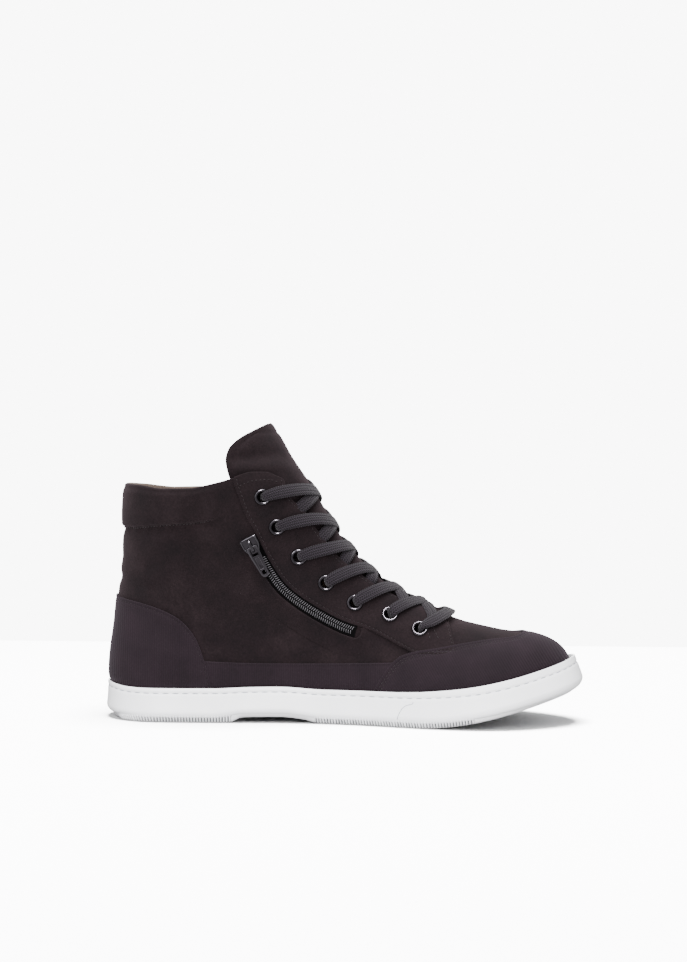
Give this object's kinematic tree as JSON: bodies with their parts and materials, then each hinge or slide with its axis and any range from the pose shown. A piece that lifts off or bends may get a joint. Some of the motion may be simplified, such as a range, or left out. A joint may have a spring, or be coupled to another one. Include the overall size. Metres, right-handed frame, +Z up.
{
  "type": "high top sneaker",
  "caption": "High top lace-up sneaker for the left foot, with padded cuff, inner side zip with a swinging pull tab, ribbed toe and heel panels and a white cup sole.",
  "frame": {"origin": "on the floor under the middle of the shoe", "axes": "+X to the toe, +Z up, -Y towards the inner side of the foot"},
  "size_m": [0.2774, 0.0976, 0.1713],
  "materials": {
    "suede": "matt",
    "ribbed_cloth": "matt, ribbed",
    "lining": "matt",
    "white_rubber": "satin",
    "gunmetal": "polished dark",
    "woven_lace": "matt"
  },
  "bodies": {
    "shoe": {"upper": "suede", "eyestay": "suede", "tongue": "suede", "toe_guard": "ribbed_cloth", "heel_counter": "ribbed_cloth", "side_band_medial": "ribbed_cloth", "side_band_lateral": "ribbed_cloth", "insole": "lining", "sole_cup": "white_rubber", "outsole": "white_rubber", "zip_coil": "gunmetal", "zip_slider": "gunmetal", "eyelet_medial_1": "gunmetal", "eyelet_medial_2": "gunmetal", "eyelet_medial_3": "gunmetal", "eyelet_medial_4": "gunmetal", "eyelet_medial_5": "gunmetal", "eyelet_medial_6": "gunmetal", "eyelet_medial_7": "gunmetal", "eyelet_lateral_1": "gunmetal", "eyelet_lateral_2": "gunmetal", "eyelet_lateral_3": "gunmetal", "eyelet_lateral_4": "gunmetal", "eyelet_lateral_5": "gunmetal", "eyelet_lateral_6": "gunmetal", "eyelet_lateral_7": "gunmetal", "lace_cross_1": "woven_lace", "lace_cross_2": "woven_lace", "lace_cross_3": "woven_lace", "lace_cross_4": "woven_lace", "lace_cross_5": "woven_lace", "lace_cross_6": "woven_lace", "lace_bar_7": "woven_lace"},
    "pull_tab": {"zip_pull": "gunmetal"}
  },
  "joints": [
    {"name": "pull_tab_swing", "type": "hinge", "parent": "shoe", "child": "pull_tab", "pos_m": [-0.04974, -0.028, 0.10026], "axis": [-0.8159, -0.0338, -0.5772], "range_deg": [0, 130]}
  ]
}
